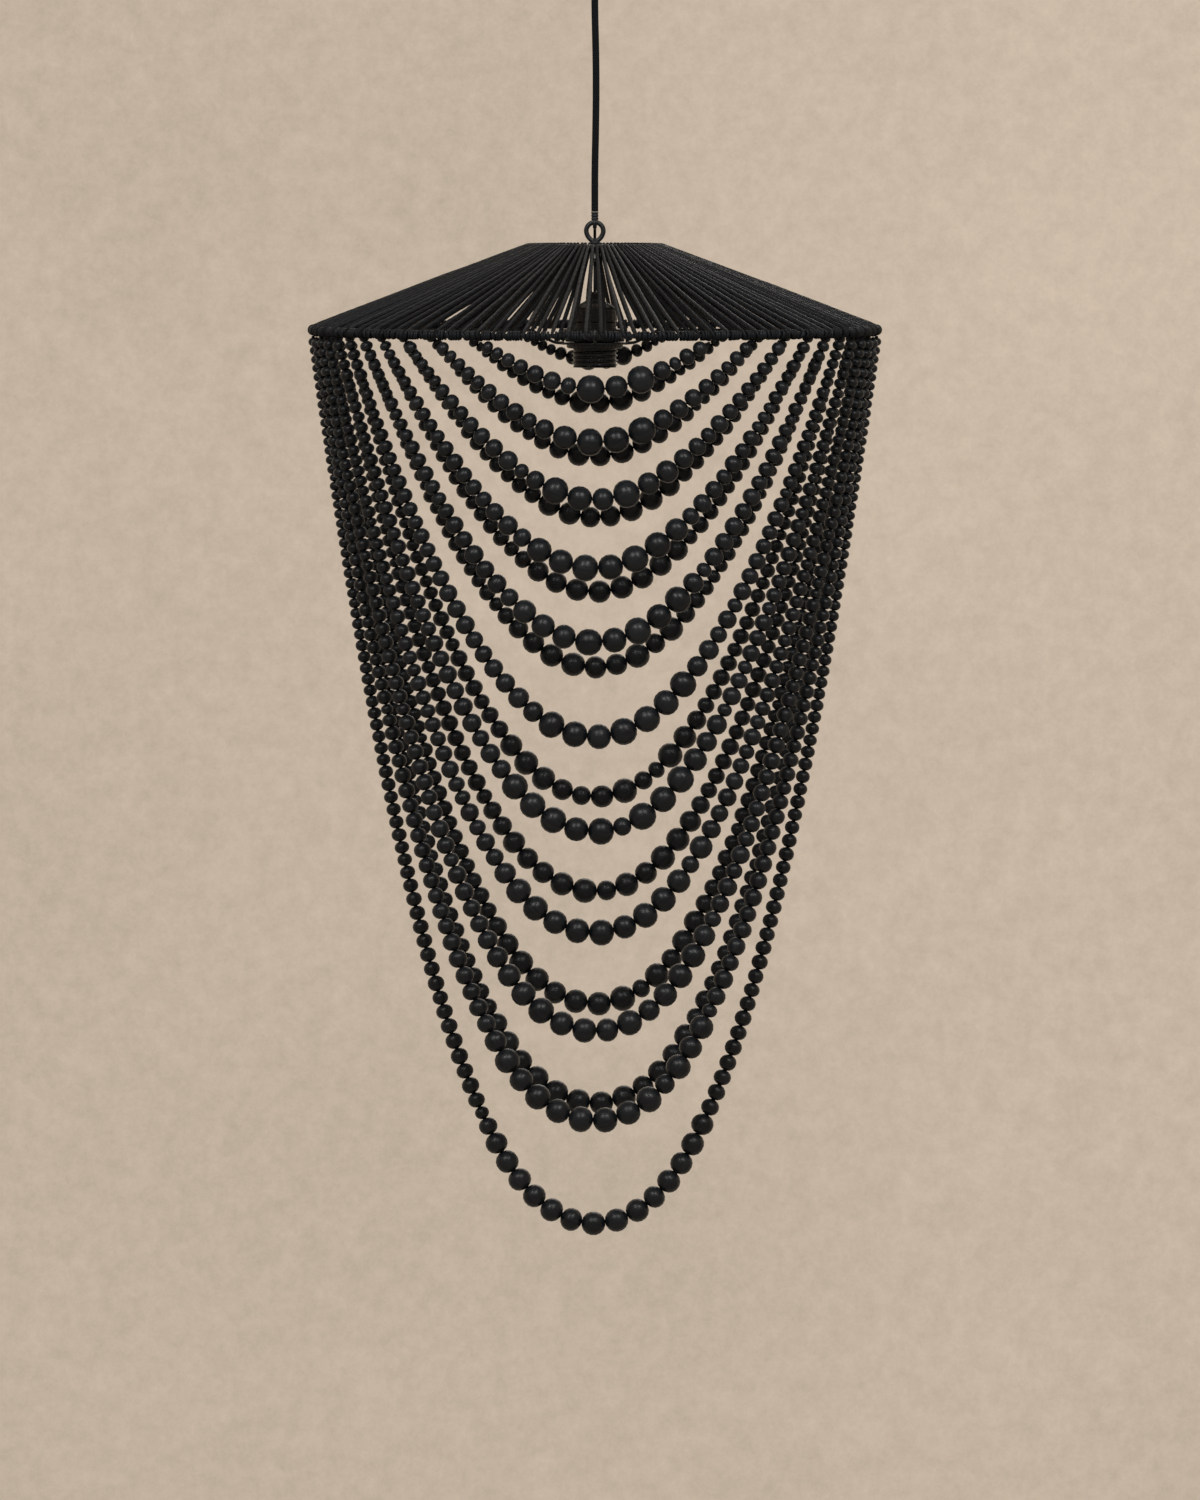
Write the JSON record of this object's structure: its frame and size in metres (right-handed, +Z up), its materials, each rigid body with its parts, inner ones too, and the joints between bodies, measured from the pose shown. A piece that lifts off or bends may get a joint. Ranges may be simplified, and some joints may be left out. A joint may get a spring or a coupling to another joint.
{
  "type": "beaded chandelier",
  "caption": "Pendant shade of black cord wound over a conical wire frame, with a lampholder inside and nested strands of graded wooden beads hanging from its rim.",
  "frame": {"origin": "middle of the ceiling face of the crossbar inside the ceiling cup", "axes": "+Z up along the cord, -Y the front of the picture, +X its right; the strands hang in planes across X"},
  "size_m": [0.5012, 0.5012, 1.1392],
  "materials": {
    "painted_steel": "satin black powder coat",
    "zinc_steel": "zinc plated",
    "paper_cord": "matt, twisted two-ply cord",
    "textile_cord": "matt, braided sleeve",
    "wooden_beads": "stained black, eggshell",
    "holder_plastic": "satin moulded",
    "grip_plastic": "satin moulded",
    "terminal_plastic": "matt moulded",
    "brass_contacts": "plain",
    "ceramic_insulator": "unglazed"
  },
  "bodies": {
    "ceiling_rose": {"ceiling_cup": "painted_steel", "ceiling_bar": "zinc_steel", "cup_screw_left": "painted_steel", "cup_screw_right": "painted_steel", "cord_grip": "grip_plastic", "grip_nut": "grip_plastic", "terminal_block": "terminal_plastic", "cord_tail": "textile_cord"},
    "hanging_cord": {"pendant_cord": "textile_cord", "cord_hook": "painted_steel"},
    "lamp": {"rim_ring": "painted_steel", "top_ring": "painted_steel", "frame_rib_1": "painted_steel", "frame_rib_2": "painted_steel", "frame_rib_3": "painted_steel", "frame_rib_4": "painted_steel", "top_spider": "painted_steel", "eye_bolt": "painted_steel", "holder_spider": "painted_steel", "eye_nut": "zinc_steel", "cord_panel_1": "paper_cord", "cord_panel_2": "paper_cord", "cord_panel_3": "paper_cord", "cord_panel_4": "paper_cord", "cord_panel_5": "paper_cord", "cord_panel_6": "paper_cord", "cord_panel_7": "paper_cord", "cord_panel_8": "paper_cord", "inner_lead": "textile_cord", "upper_shade_ring": "holder_plastic", "lower_shade_ring": "holder_plastic", "holder_body": "holder_plastic", "holder_cap": "holder_plastic", "shell_contact": "brass_contacts", "centre_contact": "brass_contacts", "holder_insulator": "ceramic_insulator"},
    "strand_back_01": {"strand_back_01": "wooden_beads"},
    "strand_back_02": {"strand_back_02": "wooden_beads"},
    "strand_back_03": {"strand_back_03": "wooden_beads"},
    "strand_back_04": {"strand_back_04": "wooden_beads"},
    "strand_back_05": {"strand_back_05": "wooden_beads"},
    "strand_back_06": {"strand_back_06": "wooden_beads"},
    "strand_back_07": {"strand_back_07": "wooden_beads"},
    "strand_back_08": {"strand_back_08": "wooden_beads"},
    "strand_back_09": {"strand_back_09": "wooden_beads"},
    "strand_back_10": {"strand_back_10": "wooden_beads"},
    "strand_front_01": {"strand_front_01": "wooden_beads"},
    "strand_front_02": {"strand_front_02": "wooden_beads"},
    "strand_front_03": {"strand_front_03": "wooden_beads"},
    "strand_front_04": {"strand_front_04": "wooden_beads"},
    "strand_front_05": {"strand_front_05": "wooden_beads"},
    "strand_front_06": {"strand_front_06": "wooden_beads"},
    "strand_front_07": {"strand_front_07": "wooden_beads"},
    "strand_front_08": {"strand_front_08": "wooden_beads"},
    "strand_front_09": {"strand_front_09": "wooden_beads"},
    "strand_front_10": {"strand_front_10": "wooden_beads"},
    "strand_middle": {"strand_middle": "wooden_beads"}
  },
  "joints": [
    {"name": "cord_swing", "type": "hinge", "parent": "ceiling_rose", "child": "hanging_cord", "pos_m": [0, 0, -0.052], "axis": [0, 1, 0], "range_deg": [-10, 10]},
    {"name": "lamp_swing", "type": "hinge", "parent": "hanging_cord", "child": "lamp", "pos_m": [0, 0, -0.2533], "axis": [1, 0, 0], "range_deg": [-8, 8]},
    {"name": "swing_back_01", "type": "hinge", "parent": "lamp", "child": "strand_back_01", "pos_m": [0, 0.235, -0.3531], "axis": [1, 0, 0], "range_deg": [-8, 8]},
    {"name": "swing_back_02", "type": "hinge", "parent": "lamp", "child": "strand_back_02", "pos_m": [0, 0.215, -0.3531], "axis": [1, 0, 0], "range_deg": [-8, 8]},
    {"name": "swing_back_03", "type": "hinge", "parent": "lamp", "child": "strand_back_03", "pos_m": [0, 0.195, -0.3531], "axis": [1, 0, 0], "range_deg": [-8, 8]},
    {"name": "swing_back_04", "type": "hinge", "parent": "lamp", "child": "strand_back_04", "pos_m": [0, 0.175, -0.3531], "axis": [1, 0, 0], "range_deg": [-8, 8]},
    {"name": "swing_back_05", "type": "hinge", "parent": "lamp", "child": "strand_back_05", "pos_m": [0, 0.155, -0.3531], "axis": [1, 0, 0], "range_deg": [-8, 8]},
    {"name": "swing_back_06", "type": "hinge", "parent": "lamp", "child": "strand_back_06", "pos_m": [0, 0.135, -0.3531], "axis": [1, 0, 0], "range_deg": [-8, 8]},
    {"name": "swing_back_07", "type": "hinge", "parent": "lamp", "child": "strand_back_07", "pos_m": [0, 0.115, -0.3531], "axis": [1, 0, 0], "range_deg": [-8, 8]},
    {"name": "swing_back_08", "type": "hinge", "parent": "lamp", "child": "strand_back_08", "pos_m": [0, 0.095, -0.3531], "axis": [1, 0, 0], "range_deg": [-8, 8]},
    {"name": "swing_back_09", "type": "hinge", "parent": "lamp", "child": "strand_back_09", "pos_m": [0, 0.075, -0.3531], "axis": [1, 0, 0], "range_deg": [-2.5, 2.5]},
    {"name": "swing_back_10", "type": "hinge", "parent": "lamp", "child": "strand_back_10", "pos_m": [0, 0.055, -0.3531], "axis": [1, 0, 0], "range_deg": [-2.5, 2.5]},
    {"name": "swing_front_01", "type": "hinge", "parent": "lamp", "child": "strand_front_01", "pos_m": [0, -0.225, -0.3531], "axis": [1, 0, 0], "range_deg": [-8, 8]},
    {"name": "swing_front_02", "type": "hinge", "parent": "lamp", "child": "strand_front_02", "pos_m": [0, -0.205, -0.3531], "axis": [1, 0, 0], "range_deg": [-8, 8]},
    {"name": "swing_front_03", "type": "hinge", "parent": "lamp", "child": "strand_front_03", "pos_m": [0, -0.185, -0.3531], "axis": [1, 0, 0], "range_deg": [-8, 8]},
    {"name": "swing_front_04", "type": "hinge", "parent": "lamp", "child": "strand_front_04", "pos_m": [0, -0.165, -0.3531], "axis": [1, 0, 0], "range_deg": [-8, 8]},
    {"name": "swing_front_05", "type": "hinge", "parent": "lamp", "child": "strand_front_05", "pos_m": [0, -0.145, -0.3531], "axis": [1, 0, 0], "range_deg": [-8, 8]},
    {"name": "swing_front_06", "type": "hinge", "parent": "lamp", "child": "strand_front_06", "pos_m": [0, -0.125, -0.3531], "axis": [1, 0, 0], "range_deg": [-8, 8]},
    {"name": "swing_front_07", "type": "hinge", "parent": "lamp", "child": "strand_front_07", "pos_m": [0, -0.105, -0.3531], "axis": [1, 0, 0], "range_deg": [-8, 8]},
    {"name": "swing_front_08", "type": "hinge", "parent": "lamp", "child": "strand_front_08", "pos_m": [0, -0.085, -0.3531], "axis": [1, 0, 0], "range_deg": [-8, 8]},
    {"name": "swing_front_09", "type": "hinge", "parent": "lamp", "child": "strand_front_09", "pos_m": [0, -0.065, -0.3531], "axis": [1, 0, 0], "range_deg": [-2.5, 2.5]},
    {"name": "swing_front_10", "type": "hinge", "parent": "lamp", "child": "strand_front_10", "pos_m": [0, -0.045, -0.3531], "axis": [1, 0, 0], "range_deg": [-2.5, 2.5]},
    {"name": "swing_middle", "type": "hinge", "parent": "lamp", "child": "strand_middle", "pos_m": [0, 0.004, -0.3531], "axis": [1, 0, 0], "range_deg": [-8, 8]}
  ]
}
